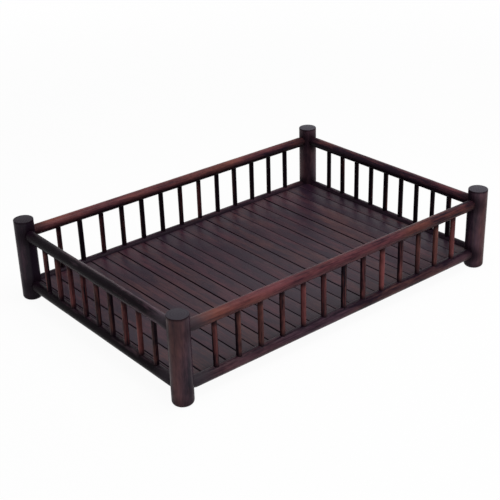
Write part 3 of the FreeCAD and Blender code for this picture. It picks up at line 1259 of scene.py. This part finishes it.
class TRAY_OT_floor(bpy.types.Operator):
    """Make the edge strip and the floor slats, tongued at the ends and cut round the posts"""

    bl_idname = "tray.floor"
    bl_label = "Floor slats"

    def execute(self, context):
        settings = context.scene.tray
        floor = settings.floor
        plain = shared("Board", plank_tree, False)
        corner = shared("Corner board", plank_tree, True)
        rear = span("bottom_rail_rear", Y)[0] - floor.shoulder_gap
        common = sizes(floor) | {
            "Front": span("bottom_rail_front", Y)[1] + floor.shoulder_gap,
            "Rear": rear,
            "Tongue length": TONGUE_TIP - rear,
            "Rings": SLAT_RINGS,
            "Turn": 0.0,
            "Material": slat_finish(settings.finish),
            "Post room": POST_RADIUS + floor.shoulder_gap,
        }
        for number, node in enumerate([EDGE_STRIP, *SLATS]):
            left, right = span(node, X)
            underside, top = span(node, Z)
            at_corner = node in (EDGE_STRIP, SLATS[-1])
            if node == EDGE_STRIP:
                left = span("bottom_rail_left", X)[1] + floor.shoulder_gap
            if node == SLATS[-1]:
                right = span("bottom_rail_right", X)[0] - floor.shoulder_gap
            tilt_share = 2 * scatter(number, *SLAT_TILT_DRAW) - 1
            tone_share = scatter(number, *SLAT_TONE_DRAW) - NOISE_MIDDLE
            values = common | {
                "Left": left,
                "Right": right,
                "Top": top,
                "Underside": underside,
                "Waver": 0.0 if at_corner else floor.waver,
                "Tilt": floor.tilt * tilt_share,
                "Tone": SLAT_TONE + SLAT_TONE_SPREAD * tone_share,
                "Seed": float(SLAT_SEED + number),
                "Post axis": tuple(middle("post_rear_left" if node == EDGE_STRIP else "post_rear_right")),
            }
            grow(f"laid_{node}", corner if at_corner else plain, values, node)
        return {"FINISHED"}


class TRAY_OT_bearers(bpy.types.Operator):
    """Make the two flat bearers under the floor"""

    bl_idname = "tray.bearers"
    bl_label = "Bearers"

    def execute(self, context):
        settings = context.scene.tray
        tree = shared("Board", plank_tree, False)
        material = bpy.data.materials.get("slat_stain") or slat_finish(settings.finish)
        for number, node in enumerate(BEARERS):
            low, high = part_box(node)
            values = sizes(settings.floor) | {
                "Left": -high.y,
                "Right": -low.y,
                "Front": low.x,
                "Rear": high.x,
                "Top": high.z,
                "Underside": low.z,
                "Ease": settings.floor.bearer_ease,
                "Tongue length": 0.0,
                "Lift": 0.0,
                "Tilt": 0.0,
                "Rings": SLAT_RINGS,
                "Turn": -QUARTER_TURN,
                "Tone": SLAT_TONE,
                "Seed": float(BEARER_SEED + number),
                "Material": material,
            }
            grow(f"flat_{node}", tree, values, node)
        return {"FINISHED"}


# Stage: half the floor's width, where its shadows fade out, and how deep under the tray it is shaded
FLOOR_HALF_WIDTH = 4.0
FADE_START = 0.5
FADE_END = 1.5
SHADE_START = 14 * MM
SHADE_END = 22 * MM
WHITE = (1.0, 1.0, 1.0, 1.0)


def seen_rays(t):
    """1 for rays that show the backdrop as such, straight or by gloss or glass, and 0 for the rest."""
    path = t.node("ShaderNodeLightPath")
    camera, glossy, glass = (
        Field(t, path.outputs[name]) for name in ("Is Camera Ray", "Is Glossy Ray", "Is Transmission Ray")
    )
    return camera.most(glossy).most(glass)


def under_tray(t, x, y):
    """1 for floor deep under the tray, 0 beside it."""
    depth_x = half_width("top_rail_front", X) - t.calc("ABSOLUTE", x)
    depth_y = half_width("top_rail_left", Y) - t.calc("ABSOLUTE", y)
    return depth_x.ramp(SHADE_START, SHADE_END) * depth_y.ramp(SHADE_START, SHADE_END)


def glow(t, x, y, share_near):
    """Share of plain white in the floor: a set share round the tray, and all of it far away."""
    far = t.diagonal(x, y).ramp(FADE_START, FADE_END)
    return share_near + (1 - share_near) * far


def set_floor(stage):
    """A wide pale floor that keeps a soft shadow and can be seen through from below."""
    half = FLOOR_HALF_WIDTH
    mesh = bpy.data.meshes.new("floor")
    corners = [(-half, -half, 0.0), (half, -half, 0.0), (half, half, 0.0), (-half, half, 0.0)]
    mesh.from_pydata(corners, [], [(0, 1, 2, 3)])
    floor = set_in_scene("floor", mesh)
    material = bpy.data.materials.new("pale_floor")
    t = Tree.blank(material)
    x, y, _ = t.shaded_point()
    under = under_tray(t, x, y)
    # Painted shadow: deep under the tray the floor takes the shaded colour and loses its white glow
    tint = t.mix(under, opaque(stage.floor), opaque(stage.shaded_floor))
    diffuse = t.put("ShaderNodeBsdfDiffuse", {"Color": tint})
    white = t.put("ShaderNodeEmission", {"Color": WHITE, "Strength": 1.0})
    seen_white = seen_rays(t) * glow(t, x, y, stage.floor_glow) * (1 - under)
    pale = t.put("ShaderNodeMixShader", {0: seen_white, 1: diffuse, 2: white})
    below = t.put("ShaderNodeNewGeometry", out="Backfacing")
    clear = t.put("ShaderNodeBsdfTransparent")
    surface = t.put("ShaderNodeMixShader", {0: below, 1: pale, 2: clear})
    t.node("ShaderNodeOutputMaterial", {"Surface": surface})
    mesh.materials.append(material)


def set_surround(scene, stage):
    """Even white light from all round, seen as plain white."""
    world = bpy.data.worlds.new("surround")
    t = Tree.blank(world)
    seen = seen_rays(t)
    strength = seen + (1 - seen) * stage.surround
    sky = t.put("ShaderNodeBackground", {"Color": WHITE, "Strength": strength})
    t.node("ShaderNodeOutputWorld", {"Surface": sky})
    scene.world = world


def set_key(stage):
    """One large soft lamp overhead, a little to the front and right."""
    lamp = bpy.data.lights.new("key", "AREA")
    lamp.energy = stage.key_power
    lamp.size = stage.key_size
    key = set_in_scene("key", lamp)
    key.location = stage.key_place
    key.rotation_euler = (-Vector(stage.key_place)).to_track_quat("-Z", "Y").to_euler()


def set_camera(scene, stage):
    """The camera at the picture's angle."""
    lens = bpy.data.cameras.new("camera")
    lens.lens = stage.lens
    camera = set_in_scene("camera", lens)
    facing = Euler((QUARTER_TURN - stage.elevation, 0.0, stage.azimuth)).to_quaternion()
    camera.rotation_mode = "QUATERNION"
    camera.rotation_quaternion = facing @ Euler((0.0, 0.0, stage.roll)).to_quaternion()
    camera.location = Vector(stage.aim) + facing @ Vector((0.0, 0.0, stage.distance))
    scene.camera = camera


class TRAY_OT_stage(bpy.types.Operator):
    """Set the pale floor, the soft light and the camera"""

    bl_idname = "tray.stage"
    bl_label = "Stage"

    def execute(self, context):
        stage = context.scene.tray.stage
        set_floor(stage)
        set_surround(context.scene, stage)
        set_key(stage)
        set_camera(context.scene, stage)
        context.scene.view_settings.view_transform = "Standard"
        return {"FINISHED"}


# Panel and registration

OPERATORS = (
    TRAY_OT_posts, TRAY_OT_rails, TRAY_OT_balusters, TRAY_OT_floor, TRAY_OT_bearers, TRAY_OT_stage,
)


class TRAY_PT_sidebar(bpy.types.Panel):
    """Lists the tray's pieces, and under them their settings"""

    bl_label = "Railed tea tray"
    bl_idname = "TRAY_PT_sidebar"
    bl_space_type = "VIEW_3D"
    bl_region_type = "UI"
    bl_category = "Tray"

    def draw(self, context):
        for operator in OPERATORS:
            self.layout.operator(operator.bl_idname)
        for group in TraySettings.__annotations__:
            settings = getattr(context.scene.tray, group)
            box = self.layout.box()
            box.label(text=group.capitalize())
            for name in type(settings).__annotations__:
                box.prop(settings, name)


CLASSES = (
    PostSettings,
    RailSettings,
    BalusterSettings,
    FloorSettings,
    FinishSettings,
    StageSettings,
    TraySettings,
    *OPERATORS,
    TRAY_PT_sidebar,
)


def register():
    for kind in CLASSES:
        bpy.utils.register_class(kind)
    bpy.types.Scene.tray = PointerProperty(type=TraySettings)


def unregister():
    del bpy.types.Scene.tray
    for kind in reversed(CLASSES):
        bpy.utils.unregister_class(kind)


def main():
    """Build every piece and the stage."""
    register()
    bpy.ops.tray.posts()
    bpy.ops.tray.rails()
    bpy.ops.tray.balusters()
    bpy.ops.tray.floor()
    bpy.ops.tray.bearers()
    bpy.ops.tray.stage()


if __name__ == "__main__":
    main()
